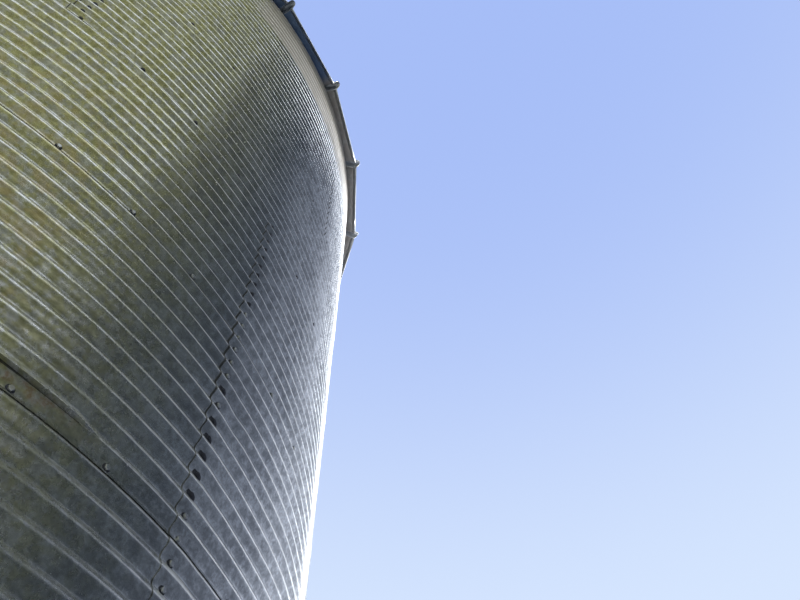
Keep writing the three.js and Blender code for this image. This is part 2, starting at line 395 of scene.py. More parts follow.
def dent_at(azimuths, heights):
    """How far the dents push the wall inwards."""
    azimuths = from_front(azimuths)
    push = np.zeros((len(heights), len(azimuths)))
    for azimuth, height, wide, high, depth in DENTS:
        sideways = np.radians(azimuths - azimuth)[None, :] * WALL_OUTSIDE / wide
        upwards = (heights - height)[:, None] / high
        push += depth * np.exp(-(sideways**2) - upwards**2)
    return push


def crease_at(azimuths, heights):
    """How far the folded crease stands out of the wall, with a hollow under its edge."""
    azimuths = from_front(azimuths)
    along = smooth_step(CREASE_END, CREASE_END - CREASE_FADE, azimuths)
    along = (along * smooth_step(*CREASE_START, azimuths))[None, :]
    over = (heights - CREASE_HEIGHT)[:, None]
    bulge = smooth_step(*CREASE_FOLD, over) * smooth_step(*CREASE_TOP, over)
    hollow = smooth_step(*HOLLOW_FOOT, over) * smooth_step(*HOLLOW_TOP, over)
    return CREASE_REACH * along * (bulge - HOLLOW_SHARE * hollow)


def lap_lift(sizes, ring):
    """How far a ring's foot stands off the ring below."""
    if ring == 0:
        return 0.0
    return sizes.ring_lift if ring < FIRST_TIGHT_RING else sizes.tight_lift


def sheet_azimuths(left, right):
    """Azimuths of a sheet's mesh columns, closer together at its seam edge and in a dent."""
    near_edge = left + np.array(EDGE_COLUMNS)
    even = np.linspace(left + FIRST_EVEN_COLUMN, right, EVEN_COLUMNS)
    columns = np.concatenate([near_edge, even])
    for azimuth, _, wide, _, _ in DENTS:
        reach = math.degrees(DENT_SPREAD * wide / WALL_OUTSIDE)
        inside = np.arange(azimuth - reach, azimuth + reach, DENT_STEP)
        inside = inside[(inside > near_edge[-1] + COLUMN_GAP) & (inside < right - COLUMN_GAP)]
        columns = np.concatenate([columns, inside])
    return np.unique(np.round(columns, 3))


def wall_sheet(sizes, ring, left, right):
    """Grids of the outer and inner face of one curved, corrugated sheet."""
    pitch = RING_HEIGHT / sizes.corrugations
    bottom = ring * RING_HEIGHT
    first = -LAP_ROWS if ring else 0
    last = LAP_ROWS if ring < RING_COUNT - 1 else 0
    steps = np.arange(first, sizes.corrugations * sizes.levels + last + 1)
    heights = bottom + steps * pitch / sizes.levels
    if ring == CREASED_RING:
        heights = np.unique(np.concatenate([heights, CREASE_HEIGHT + FOLD_ROWS]))
    azimuths = sheet_azimuths(left, right)
    radius = WALL_OUTSIDE - sizes.depth / 2 * (1 + np.cos(2 * math.pi * heights / pitch))[:, None]
    radius = radius + sizes.wander * wander_of(azimuths, heights)
    radius = radius - dent_at(azimuths, heights)
    if ring == CREASED_RING:
        radius = radius + crease_at(azimuths, heights)
    seam_lap = 1.0 - smooth_step(*SEAM_FADE, azimuths - left)
    ring_lap = 1.0 - smooth_step(LAP_FADE[0] * pitch, LAP_FADE[1] * pitch, heights - bottom)
    radius = radius + lap_lift(sizes, ring) * ring_lap[:, None]
    radius = radius + sizes.seam_lift * seam_lap[None, :]
    turn = np.radians(azimuths)[None, :]
    level = np.broadcast_to(heights[:, None], radius.shape)

    def grid(reach):
        return np.stack([reach * np.sin(turn), -reach * np.cos(turn), level], axis=-1)

    return grid(radius), grid(radius - sizes.gauge)


def sheet_tone(ring, sheet):
    """Weathering of one sheet, from 0, dull, to 1, bright, the same on every run."""
    if ring == DULL_RING:
        return DULL_TONE
    draw = np.random.default_rng(TONE_SEED + 10 * ring + sheet)
    return float(draw.uniform(*SHEET_TONES))


def build_half_ring(sizes, ring, half, material):
    """Three sheets of a ring in one piece, which stands for the CAD half ring."""
    span = 360.0 / sizes.sheets
    per_half = sizes.sheets // 2
    first = HALVES.index(half) * per_half
    parts, tones, edges = [], [], []
    for sheet in range(first, first + per_half):
        left = SEAM_AZIMUTHS[ring] + sheet * span - SEAM_EDGE_LEAD
        right = left + span + SEAM_EDGE_LEAD + SEAM_END_REACH
        outer, inner = wall_sheet(sizes, ring, left, right)
        parts.append(shell(outer, inner))
        tones.extend([sheet_tone(ring, sheet)] * (2 * outer.shape[0] * outer.shape[1]))
        uncovered = np.radians(left + span - sheet_azimuths(left, right)) * WALL_OUTSIDE
        edges.extend(np.tile(uncovered, 2 * outer.shape[0]).tolist())
    points, faces = merged(parts)
    piece = add_piece(f"wall_sheets_{ring + 1}_{half}", points, faces, [material])
    for name, values in (("sheet_tone", tones), ("seam_distance", edges)):
        attribute = piece.data.attributes.new(name, "FLOAT", "POINT")
        attribute.data.foreach_set("value", values)
    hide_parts(f"wall_ring_{ring + 1}_half_{half}")


# Bolts


# Valleys of the fourth ring, counted from its foot, whose seam bolts have dark heads and wider washers,
# and how much wider than a washer these spread
DARK_HEAD_VALLEYS = (2, 3, 4, 5, 6, 8)
DARK_WASHER_SPREAD = 1.6
# Heights from which all bolts of that seam, and then all bolts of the wall, are dark
HIGH_SEAM = 3.42
HIGH_LAPS = 4.0
WASHER_SIDES = 12
HEAD_SIDES = 6
# How far a washer reaches into the sheet under it
WASHER_DEPTH = 0.003


def dark_headed(foot, pitch):
    """Whether a bolt's head is as dark as its washer."""
    azimuth = math.degrees(math.atan2(foot.x, -foot.y))
    on_seam = abs(azimuth - SEAM_AZIMUTHS[CREASED_RING]) < 0.5
    valley = round((foot.z - CREASED_RING * RING_HEIGHT) / pitch)
    low_seam = on_seam and valley in DARK_HEAD_VALLEYS
    high_seam = on_seam and foot.z > HIGH_SEAM
    return low_seam or high_seam or foot.z > HIGH_LAPS


def bolt_parts(sizes, foot, outward, turn, spread):
    """Washer, widened by a factor, and domed hexagon head of one bolt, facing outward."""
    side = Vector((0, 0, 1)).cross(outward).normalized()
    up = outward.cross(side)

    def ring(radius, rise, count):
        points = []
        for i in range(count):
            angle = turn + 2 * math.pi * i / count
            across_face = side * math.cos(angle) + up * math.sin(angle)
            points.append(foot + across_face * radius + outward * rise)
        return points

    def stack(levels, count):
        points = [point for radius, rise in levels for point in ring(radius, rise, count)]
        faces = [list(range(count))[::-1]]
        for level in range(len(levels) - 1):
            low = level * count
            for i in range(count):
                ahead = (i + 1) % count
                faces.append([low + i, low + ahead, low + count + ahead, low + count + i])
        faces.append(list(range((len(levels) - 1) * count, len(levels) * count)))
        return [tuple(point) for point in points], faces

    top = sizes.washer_height
    reach = sizes.washer_radius * spread
    head = sizes.head_radius
    washer_levels = ((reach, -WASHER_DEPTH), (reach, top * 0.6), (reach * 0.84, top))
    head_levels = (
        (head, top * 0.5),
        (head, top + sizes.head_height * 0.8),
        (head * 0.8, top + sizes.head_height),
    )
    return stack(washer_levels, WASHER_SIDES), stack(head_levels, HEAD_SIDES)


def build_bolts(name, sizes, places, materials, pitch):
    """One piece of many bolts; places are foot points with their outward directions."""
    draw = np.random.default_rng(len(places) * 7 + 3)
    parts, slots = [], []
    for foot, outward in places:
        dark = dark_headed(foot, pitch)
        spread = DARK_WASHER_SPREAD if dark and foot.z < HIGH_SEAM else 1.0
        washer, head = bolt_parts(sizes, foot, outward, draw.uniform(0, math.pi), spread)
        parts += [washer, head]
        slots += [0] * len(washer[1]) + [0 if dark else 1] * len(head[1])
    points, faces = merged(parts)
    piece = add_piece(name, points, faces, materials, sharp_angle=35.0)
    piece.data.polygons.foreach_set("material_index", slots)


def valley_point(wall, ring, azimuth, height, lift):
    """Foot of a bolt in a valley of the wall, on the outermost sheet there."""
    at = (np.array([azimuth]), np.array([height]))
    radius = WALL_OUTSIDE - wall.depth + wall.wander * wander_of(*at)[0, 0]
    radius += lift - dent_at(*at)[0, 0]
    if ring == CREASED_RING:
        radius += crease_at(*at)[0, 0]
    out = direction(azimuth)
    return out * radius + Vector((0, 0, height)), out


def ring_lap_places(wall, bolts, ring):
    """Bolts along the lap at a ring's foot, evenly round the silo."""
    if ring == 0:
        return []
    count = wall.sheets * bolts.per_sheet
    places = []
    for i in range(count):
        azimuth = SEAM_AZIMUTHS[0] + i * (360.0 / count)
        places.append(valley_point(wall, ring, azimuth, ring * RING_HEIGHT, lap_lift(wall, ring)))
    return places


def seam_places(wall, ring):
    """Bolts up a ring's upright seams, one in each valley between its laps."""
    pitch = RING_HEIGHT / wall.corrugations
    places = []
    for sheet in range(wall.sheets):
        azimuth = SEAM_AZIMUTHS[ring] + sheet * 360.0 / wall.sheets
        for valley in range(1, wall.corrugations):
            height = ring * RING_HEIGHT + valley * pitch
            places.append(valley_point(wall, ring, azimuth, height, wall.seam_lift))
    return places


# Roof


# Points across a panel's flat sheet, up its slope, up a rib and over a rib's round crown
PLATE_COLUMNS = 5
PLATE_LEVELS = 8
RIB_LEVELS = 9
CROWN_STEPS = 9
# Rounding of the eave's edge, rows of faces in its hem, and how far in the plain slope starts
HEM_ROUND = 0.004
HEM_ROWS = 3
SLOPE_START = 0.03
# A rib's flanges on the panels beside it: width, height of the free edge and height of the fold
RIB_FLANGE = 0.008
FLANGE_EDGE = 0.0025
FLANGE_FOLD = 0.003
# Shares of a rib's half width and height at its side's knee, and of its half width at its crown
KNEE_WIDTH = 0.9
KNEE_HEIGHT = 0.4
CROWN_WIDTH = 0.78


def roof_apex(roof):
    """Height at which the slope of the panels would meet the axis."""
    return WALL_TOP + math.tan(roof.slope) * WALL_OUTSIDE


def rib_share(roof, radius):
    """0 at a rib's upper end and 1 at the eave."""
    return (radius - roof.rib_peak_radius) / (roof.rib_end_radius - roof.rib_peak_radius)


def rib_half_width(roof, radius):
    """Half the width of a rib at a radius."""
    share = rib_share(roof, radius)
    return 0.5 * (roof.rib_peak_width + (roof.rib_width - roof.rib_peak_width) * share)


def plate_rows(roof, azimuth):
    """Rows of a panel's flat sheet from its lip's return up to the peak."""
    half_angle = math.radians(180.0 / PANEL_COUNT)
    middle = azimuth + 180.0 / PANEL_COUNT
    out, side = direction(middle), across(middle)
    fall = math.tan(roof.slope)
    apex = roof_apex(roof)

    def row(apothem, drop, width_from=None):
        width_from = apothem if width_from is None else width_from
        inset = rib_half_width(roof, width_from) / math.cos(half_angle)
        reach = width_from * math.tan(half_angle) - inset
        rise = Vector((0, 0, apex - fall * apothem - drop))
        return [
            tuple(out * apothem + side * place + rise)
            for place in np.linspace(-reach, reach, PLATE_COLUMNS).tolist()
        ]

    edge = roof.eave_radius
    rows = [
        row(edge - roof.lip_return, roof.lip_depth - fall * roof.lip_return, edge),
        row(edge - 0.5 * HEM_ROUND, roof.lip_depth, edge),
        row(edge, roof.lip_depth - HEM_ROUND, edge),
        row(edge, HEM_ROUND, edge),
        row(edge - 0.75 * HEM_ROUND, 0.0),
    ]
    for apothem in np.linspace(edge - SLOPE_START, roof.plate_peak_radius, PLATE_LEVELS).tolist():
        rows.append(row(apothem, 0.0))
    return rows


def grid_faces(rows):
    """Points and quads of an open sheet given as rows of points."""
    columns = len(rows[0])
    points = [point for row in rows for point in row]
    faces = []
    for r in range(len(rows) - 1):
        for c in range(columns - 1):
            low = r * columns + c
            faces.append([low, low + 1, low + columns + 1, low + columns])
    return points, faces


def rib_section(half, height):
    """Places across a rib, from one flange over its round crown to the other."""
    crown = half * CROWN_WIDTH
    knee_width, knee_height = half * KNEE_WIDTH, height * KNEE_HEIGHT
    return [
        (-half - RIB_FLANGE, FLANGE_EDGE),
        (-half, FLANGE_FOLD),
        (-knee_width, knee_height),
        *arc_points((0.0, height - crown), crown, 180.0, 0.0, CROWN_STEPS),
        (knee_width, knee_height),
        (half, FLANGE_FOLD),
        (half + RIB_FLANGE, FLANGE_EDGE),
    ]


def rib_rows(roof, azimuth):
    """Rows of a rib's folded section, with its feet on the two panels beside it."""
    fall = math.tan(roof.slope) * math.cos(math.radians(180.0 / PANEL_COUNT))
    down = direction(azimuth)
    down.z = -fall
    down.normalize()
    side = across(azimuth)
    up = side.cross(down)
    if up.z < 0:
        up.negate()
    rows = []
    for radius in np.linspace(roof.rib_end_radius, roof.rib_peak_radius, RIB_LEVELS).tolist():
        share = rib_share(roof, radius)
        height = roof.rib_peak_height + (roof.rib_height - roof.rib_peak_height) * share
        foot = direction(azimuth) * radius
        foot.z = roof_apex(roof) - fall * radius
        section = rib_section(rib_half_width(roof, radius), height)
        rows.append([tuple(foot + side * w + up * h) for w, h in section])
    return rows


def build_roof_panel(roof, index, materials):
    """One flat panel with its lip and the rib over its left edge."""
    azimuth = FIRST_RIB_AZIMUTH + index * 360.0 / PANEL_COUNT
    name = f"roof_sheet_{index + 1:02d}"
    plate = grid_faces(plate_rows(roof, azimuth))
    rib = grid_faces(rib_rows(roof, azimuth))
    points, faces = merged([plate, rib])
    piece = add_piece(name, points, faces, materials, sharp_angle=30.0)
    hem_faces = HEM_ROWS * (PLATE_COLUMNS - 1)
    slots = [1] * hem_faces + [0] * (len(plate[1]) - hem_faces) + [1] * len(rib[1])
    piece.data.polygons.foreach_set("material_index", slots)
    thicken(piece, roof.gauge)
    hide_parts(f"roof_panel_{index + 1:02d}")


# Peak and foot


# Points round the turned pieces
PEAK_STEPS = 96
FOOT_STEPS = 180
# The peak collar's neck and the roll of its rim
NECK_RADIUS = 0.330
NECK_GAUGE = 0.005
NECK_ROLL = 0.006
# The cap's gauge, the roll of its skirt, and how far its shoulder lies under its tip
CAP_GAUGE = 0.003
CAP_ROLL = 0.005
CAP_FALL = 0.1575
# The foot angle's gauge, its gap to the wall and the rounding of its edges
FOOT_GAUGE = 0.006
FOOT_GAP = 0.0015
FOOT_ROUND = 0.001
# Anchor bolts through the foot angle, the first one's azimuth after a rib's, and how far in they stand
ANCHOR_COUNT = 12
ANCHOR_TURN = 15.0
ANCHOR_INSET = 0.020


def build_peak_collar(roof, material):
    """The neck through the roof, its sloped flange and its rolled rim."""
    low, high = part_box("peak_collar")
    flange = node_radii("peak_collar")[1]
    fall = math.tan(roof.slope)
    inside = NECK_RADIUS - NECK_GAUGE
    edge = flange * 0.985
    profile = [
        (inside, low.z + (flange - NECK_RADIUS) * fall),
        (edge, low.z + 0.002),
        (edge, low.z + 0.006),
        (NECK_RADIUS, roof_apex(roof) - fall * NECK_RADIUS - 0.002),
        (NECK_RADIUS, high.z - 2 * NECK_ROLL),
        *arc_points((NECK_RADIUS + 0.001, high.z - NECK_ROLL), NECK_ROLL, -60, 210, 8),
        (inside, high.z - 0.014),
    ]
    points, faces = turned(profile, PEAK_STEPS)
    piece = add_piece("peak_neck", points, faces, [material])
    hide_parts("peak_collar")


def build_peak_cap(material):
    """The shallow spun cap with a stepped crown and a rolled skirt."""
    low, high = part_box("peak_cap")
    radius = node_radii("peak_cap")[1]
    shoulder = high.z - CAP_FALL
    top = [
        (0.002, high.z - 0.001),
        (0.045, high.z - 0.012),
        (0.052, high.z - 0.022),
        (0.200, high.z - 0.086),
        (radius - 0.012, shoulder + 0.004),
        (radius - 0.003, shoulder - 0.004),
        (radius - 0.002, low.z + 2 * CAP_ROLL),
    ]
    hem = arc_points((radius - CAP_ROLL, low.z + 1.1 * CAP_ROLL), CAP_ROLL, 40, -200, 8)
    inside = [(max(r - 0.004, 0.001), z - CAP_GAUGE) for r, z in top[::-1]]
    points, faces = turned([*top, *hem, *inside], PEAK_STEPS)
    piece = add_piece("peak_lid", points, faces, [material])
    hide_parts("peak_cap")


def build_foot(material):
    """The rolled foot angle with a rounded heel."""
    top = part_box("foot_ring")[1].z
    outer = node_radii("foot_ring")[1]
    inside = WALL_OUTSIDE + FOOT_GAP
    leg = inside + FOOT_GAUGE
    profile = [
        (inside, 0.0),
        (outer - FOOT_ROUND, 0.0),
        (outer, FOOT_ROUND),
        (outer, FOOT_GAUGE - FOOT_ROUND),
        (outer - FOOT_ROUND, FOOT_GAUGE),
        *arc_points((leg + FOOT_GAUGE, 2 * FOOT_GAUGE), FOOT_GAUGE, 270, 180, 5),
        (leg, top - FOOT_ROUND),
        (leg - FOOT_ROUND, top),
        (inside + FOOT_ROUND, top),
        (inside, top - FOOT_ROUND),
    ]
    points, faces = turned(profile, FOOT_STEPS)
    piece = add_piece("foot_angle", points, faces, [material])
    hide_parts("foot_ring")


def anchor_places():
    """Anchor bolts through the foot angle, evenly round the silo."""
    radius = node_radii("foot_ring")[1] - ANCHOR_INSET
    places = []
    for i in range(ANCHOR_COUNT):
        out = direction(FIRST_RIB_AZIMUTH + ANCHOR_TURN + i * 360.0 / ANCHOR_COUNT)
        places.append((out * radius + Vector((0, 0, FOOT_GAUGE)), Vector((0, 0, 1))))
    return places


# Finishes


class Nodes:
    """Adds shader nodes to a tree and joins them; a value is a constant or a node's output."""

    def __init__(self, tree):
        self.tree = tree

    def node(self, kind, **inputs):
        """A new node with its inputs fed by name."""
        node = self.tree.nodes.new(kind)
        for name, value in inputs.items():
            self.feed(node.inputs[name], value)
        return node

    def feed(self, socket, value):
        """Joins an output to a socket, or sets the socket's constant."""
        if isinstance(value, bpy.types.NodeSocket):
            self.tree.links.new(value, socket)
        else:
            socket.default_value = value

    def math(self, operation, *values):
        """One arithmetic step."""
        node = self.tree.nodes.new("ShaderNodeMath")
        node.operation = operation
        for socket, value in zip(node.inputs, values):
            self.feed(socket, value)
        return node.outputs[0]

    def chain(self, operation, first, *others):
        """The same arithmetic step over several values, from the left."""
        for other in others:
            first = self.math(operation, first, other)
        return first

    def times(self, *values):
        """Product of several values."""
        return self.chain("MULTIPLY", *values)

    def plus(self, *values):
        """Sum of several values."""
        return self.chain("ADD", *values)

    def larger(self, *values):
        """The largest of several values."""
        return self.chain("MAXIMUM", *values)

    def between(self, value, low, high, start=0.0, end=1.0):
        """Soft change from start to end as the value goes from low to high."""
        node = self.tree.nodes.new("ShaderNodeMapRange")
        node.interpolation_type = "SMOOTHSTEP"
        for socket, number in zip(node.inputs[:5], (value, low, high, start, end)):
            self.feed(socket, number)
        return node.outputs[0]

    def mix(self, share, first, second, blend="MIX"):
        """Two colours mixed by a share."""
        node = self.tree.nodes.new("ShaderNodeMix")
        node.data_type = "RGBA"
        node.blend_type = blend
        self.feed(node.inputs[0], share)
        self.feed(node.inputs[6], first)
        self.feed(node.inputs[7], second)
        return node.outputs[2]

    def split(self, vector):
        """The X, Y and Z of a vector."""
        return self.node("ShaderNodeSeparateXYZ", Vector=vector).outputs


class Surface(Nodes):
    """A material being made."""

    def __init__(self, name):
        self.material = bpy.data.materials.new(name)
        self.material.use_nodes = True
        super().__init__(self.material.node_tree)
        self.shader = self.tree.nodes["Principled BSDF"]
        place = self.node("ShaderNodeTexCoord").outputs
        self.place = place["Object"]
        self.x, self.y, self.z = self.split(self.place)
        self.facing_up = self.split(place["Normal"])[2]

    def noise(self, scale, detail=3.0, rough=0.55, place=None):
        """Cloudy pattern from 0 to 1."""
        node = self.node(
            "ShaderNodeTexNoise", Vector=place or self.place, Scale=scale, Detail=detail,
            Roughness=rough,
        )
        return node.outputs[0]

    def grey(self, value):
        """A grey of a changing value."""
        return self.node("ShaderNodeCombineColor", Red=value, Green=value, Blue=value).outputs[0]

    def crystals(self, scale):
        """Random grey for each crystal of the zinc."""
        node = self.node("ShaderNodeTexVoronoi", Vector=self.place, Scale=scale)
        return self.node("ShaderNodeSeparateColor", Color=node.outputs["Color"]).outputs[0]

    def azimuth(self):
        """Azimuth in degrees, 0 on the -Y side."""
        return self.math("DEGREES", self.math("ARCTAN2", self.x, self.times(self.y, -1.0)))

    def axis_distance(self):
        """Distance from the silo's axis."""
        return self.math("SQRT", self.plus(self.times(self.x, self.x), self.times(self.y, self.y)))

    def attribute(self, name):
        """A number kept on the mesh."""
        node = self.tree.nodes.new("ShaderNodeAttribute")
        node.attribute_name = name
        return node.outputs["Fac"]

    def relief(self, height, distance, strength):
        """Fine relief on the shader's normal."""
        node = self.node("ShaderNodeBump", Height=height, Distance=distance, Strength=strength)
        self.feed(self.shader.inputs["Normal"], node.outputs[0])

    def finish(self, colour, roughness, metallic):
        """Sets the shader's main inputs and returns the material."""
        self.feed(self.shader.inputs["Base Color"], colour)
        self.feed(self.shader.inputs["Roughness"], roughness)
        self.feed(self.shader.inputs["Metallic"], metallic)
        return self.material


# Where the weathering and the painted light and shade start and where they are full: azimuths in
# degrees, heights and, for the eave's painted shade, distances from the axis in metres
FILM_RIGHT = (20.0, -2.0)
FILM_LEFT = (-150.0, -60.0)
EARTH_RIGHT = (5.0, -1.0)
EARTH_FOOT = (2.45, 2.65)
NEAR_RIGHT = (19.0, 14.0)
NEAR_LEFT = (-60.0, -30.0)
HIGHLIGHT_BACK = (175.0, 110.0)
SUNLIT_BAND_FOOT = (5.96, 6.02)
SUNLIT_BAND_LEFT = (0.0, 5.0)
SUNLIT_BAND_RIGHT = (120.0, 90.0)
RUST_TOP = (2.60, 2.55)
RUST_RIGHT = (11.0, 6.0)
SHADE_RIGHT = (20.2, 18.0)
SHADE_LEFT = (-60.0, -20.0)
SHADE_REACH = (2.15, 2.25)
# The same for heights over a sheet's lower edge, at the upper and the lower end of its rust
RUST_UPPER = (0.062, 0.042)
RUST_LOWER = (0.016, 0.030)
# The same for distances from the edge of an upright seam, for its grime and painted shade
SEAM_GRIME_AND_SHADE = (0.0048, 0.0024)
# The painted shadow under the crease: half heights at its two ends, its depth under the crease's edge
# and the azimuth of its left end
CREASE_SHADOW = (0.0032, 0.0014)
CREASE_SHADOW_DROP = 0.0035
CREASE_SHADOW_LEFT = -9.3
# The darkest and the palest rubber of the washers
RUBBER_COLOURS = ((0.014, 0.016, 0.026, 1.0), (0.045, 0.05, 0.075, 1.0))


def spangled_zinc(s, colours, blotches, specks):
    """Colour of bare zinc with its crystals, cloudy blotches and fine grain."""
    bright = s.plus(
        s.between(blotches, 0.30, 0.70),
        s.times(specks, 0.35),
        s.times(s.between(s.noise(4.0), 0.3, 0.7), 0.45),
        s.times(s.attribute("sheet_tone"), 0.35),
    )
    zinc = s.mix(s.between(bright, 0.35, 1.75), colours.dull_zinc, colours.zinc)
    grain = s.between(s.noise(130.0, 3.0, 0.7), 0.36, 0.64, 0.86, 1.12)
    return s.mix(1.0, zinc, s.grey(grain), "MULTIPLY")


def filmed_zinc(s, colours, zinc, film):
    """Zinc under its mottled olive film, by the film's share."""
    filmed = s.mix(1.0, zinc, colours.algae, "MULTIPLY")
    filmed = s.mix(0.55, filmed, colours.algae)
    mottle = s.between(s.noise(48.0, 4.0, 0.7), 0.36, 0.64, 0.70, 1.14)
    mottle = s.times(mottle, s.between(s.z, 2.6, 3.4, 0.78, 1.0))
    return s.mix(film, zinc, s.mix(1.0, filmed, s.grey(mottle), "MULTIPLY"))


def earth_share(s, azimuth):
    """Share of brown blotches on the damp side, fewer higher up."""
    side = s.times(s.between(azimuth, *EARTH_RIGHT), s.between(s.z, 4.4, 3.0, 0.1, 1.0))
    blotches = s.between(s.noise(16.0, 5.0, 0.65), 0.46, 0.62)
    return s.times(blotches, side, s.between(s.z, *EARTH_FOOT), 0.5)


def painted_highlight_share(s, azimuth, over_edge, facing_up, blotches, depth):
    """Share of painted highlight on the upward faces of the corrugations, less low on the near side."""
    near_side = s.times(s.between(azimuth, *NEAR_RIGHT), s.between(azimuth, *NEAR_LEFT))
    crest = s.between(s.axis_distance(), WALL_OUTSIDE - 0.85 * depth, WALL_OUTSIDE - 0.35 * depth)
    crest = s.larger(crest, s.times(near_side, s.between(s.z, 2.7, 2.3)))
    higher_up = s.between(s.z, 2.1, 3.1, 0.30, 1.0)
    leaning = s.plus(azimuth, s.between(s.z, 2.7, 4.2, 0.0, 3.0))
    return s.times(
        s.between(facing_up, 0.04, 0.28),
        s.between(blotches, 0.2, 0.8, 0.75, 1.0),
        s.plus(0.25, s.times(crest, 0.75)),
        s.larger(higher_up, s.math("SUBTRACT", 1.0, near_side)),
        s.between(leaning, 1.0, 9.0, 0.42, 1.0),
        s.between(azimuth, *HIGHLIGHT_BACK, 0.42, 1.0),
        s.between(over_edge, 0.016, 0.034, 0.15, 1.0),
    )


def rust_share(s, azimuth, over_edge):
    """Share of rust over the lap under the crease."""
    return s.times(
        s.between(over_edge, *RUST_UPPER),
        s.between(s.noise(30.0, 5.0, 0.65), 0.42, 0.62),
        s.between(over_edge, *RUST_LOWER),
        s.between(azimuth, *RUST_RIGHT),
        s.between(s.z, *RUST_TOP),
    )


def grime_and_shade_share(s, azimuth, over_edge):
    """Share of grime and painted shade under the laps and beside the upright seams, and of painted
    shadow under the crease.
    """
    under_lap = s.between(over_edge, RING_HEIGHT - 0.0042, RING_HEIGHT - 0.0026)
    under_lap = s.times(under_lap, s.between(s.z, 2.7, 5.0, 1.0, 0.0))
    wider = s.times(s.between(s.z, 2.84, 2.96, 1.0, 2.1), s.between(s.z, 3.2, 3.5, 1.0, 0.6))
    beside_seam = s.between(s.math("DIVIDE", s.attribute("seam_distance"), wider), *SEAM_GRIME_AND_SHADE)
    beside_seam = s.times(beside_seam, s.between(s.z, 2.35, 2.85, 0.35, 1.0))
    # Painted shadow under the crease, thinner towards its right end
    gap = s.between(azimuth, CREASE_END - 9.0, CREASE_END - 1.1, *CREASE_SHADOW)
    off_shadow = s.math("ABSOLUTE", s.math("SUBTRACT", s.z, CREASE_HEIGHT - CREASE_SHADOW_DROP))
    crease_shadow = s.times(
        s.math("LESS_THAN", off_shadow, gap),
        s.math("LESS_THAN", azimuth, CREASE_END - 1.0),
        s.math("GREATER_THAN", azimuth, CREASE_SHADOW_LEFT),
    )
    return s.larger(under_lap, s.larger(beside_seam, crease_shadow))


def wall_finish(colours, sizes):
    """Spangled zinc with an olive film, a rusty lap and grimy edges, and painted highlights, sunlight
    and shade.
    """
    s = Surface("galvanised_sheet_with_painted_light")
    azimuth = s.azimuth()
    overhang = RING_HEIGHT / sizes.corrugations * LAP_ROWS / sizes.levels
    over_edge = s.math("FLOORED_MODULO", s.plus(s.z, overhang), RING_HEIGHT)
    facing_up = s.plus(s.facing_up, s.between(s.z, 3.0, 4.2, 0.0, 0.12))
    blotches = s.noise(30.0, 4.0, 0.6)
    specks = s.crystals(110.0)
    damp_side = s.times(s.between(azimuth, *FILM_RIGHT), s.between(azimuth, *FILM_LEFT))
    film = s.times(damp_side, s.between(s.noise(34.0, 4.0, 0.65), 0.40, 0.60, 0.10, 1.0))
    painted_highlight = painted_highlight_share(s, azimuth, over_edge, facing_up, blotches, sizes.depth)
    rust = rust_share(s, azimuth, over_edge)
    grime_and_shade = grime_and_shade_share(s, azimuth, over_edge)
    # Painted sunlight: a cream band on the wall's top under the eave
    painted_sunlit_band = s.times(
        s.between(s.z, *SUNLIT_BAND_FOOT),
        s.between(azimuth, *SUNLIT_BAND_LEFT),
        s.between(azimuth, *SUNLIT_BAND_RIGHT),
    )

    colour = filmed_zinc(s, colours, spangled_zinc(s, colours, blotches, specks), film)
    colour = s.mix(earth_share(s, azimuth), colour, colours.earth)
    # Painted shade in that band: its downward faces darker than its upward faces
    band_flank_shade = s.grey(s.between(facing_up, -0.16, 0.10, 0.40, 1.0))
    colour = s.mix(painted_sunlit_band, colour, s.mix(1.0, colours.painted_sunlit_band, band_flank_shade, "MULTIPLY"))
    # Painted highlights on the corrugations' upward faces
    colour = s.mix(painted_highlight, colour, s.mix(film, colours.painted_highlight, colours.damp_painted_highlight))
    colour = s.mix(s.times(rust, 0.8), colour, colours.rust)
    # Grime and painted shade in the laps and beside the seams, and painted shadow under the crease
    colour = s.mix(s.times(grime_and_shade, 0.85), colour, colours.lap_grime_and_shade)

    roughness = s.plus(
        0.16,
        s.times(s.math("SUBTRACT", specks, 0.5), 0.06),
        s.times(s.between(blotches, 0.65, 0.35), 0.06),
        s.times(s.larger(rust, grime_and_shade), 0.35),
        s.times(film, 0.08),
        s.times(damp_side, s.between(s.z, 3.3, 2.8, 0.0, 0.10)),
    )
    worn = s.plus(s.times(film, 0.2), s.plus(rust, grime_and_shade))
    dull = s.plus(painted_highlight, painted_sunlit_band)
    metallic = s.times(
        s.between(worn, 0.0, 1.4, 0.87, 0.40), s.between(dull, 0.0, 1.0, 1.0, 0.1)
    )
    s.relief(s.noise(8.0, 3.0, 0.5), 0.0022, 0.15)
    return s.finish(colour, roughness, metallic)


def eave_painted_shade(s):
    """Share of painted shade on the underside of the eave, on its shaded side."""
    azimuth = s.azimuth()
    return s.times(
        s.between(azimuth, *SHADE_RIGHT),
        s.between(azimuth, *SHADE_LEFT),
        s.between(s.facing_up, 0.7, 0.4),
        s.between(s.axis_distance(), *SHADE_REACH),
    )


def roof_finish(colours):
    """Roof zinc, with brown dust on its underside and at the eave, and painted shade under the eave."""
    s = Surface("roof_sheet_with_painted_shade")
    bright = s.between(s.plus(s.noise(7.0, 4.0), s.times(s.crystals(75.0), 0.4)), 0.4, 1.0)
    zinc = s.mix(bright, colours.dull_zinc, colours.zinc)
    under = s.between(s.facing_up, 0.3, -0.2)
    dust = s.times(under, s.between(s.noise(18.0, 4.0), 0.25, 0.6, 0.45, 0.9))
    colour = s.mix(eave_painted_shade(s), s.mix(dust, zinc, colours.dust), colours.shade)
    s.relief(s.noise(9.0, 2.0), 0.001, 0.5)
    return s.finish(colour, s.plus(0.34, s.times(dust, 0.25)), s.between(dust, 0.0, 1.0, 0.9, 0.15))


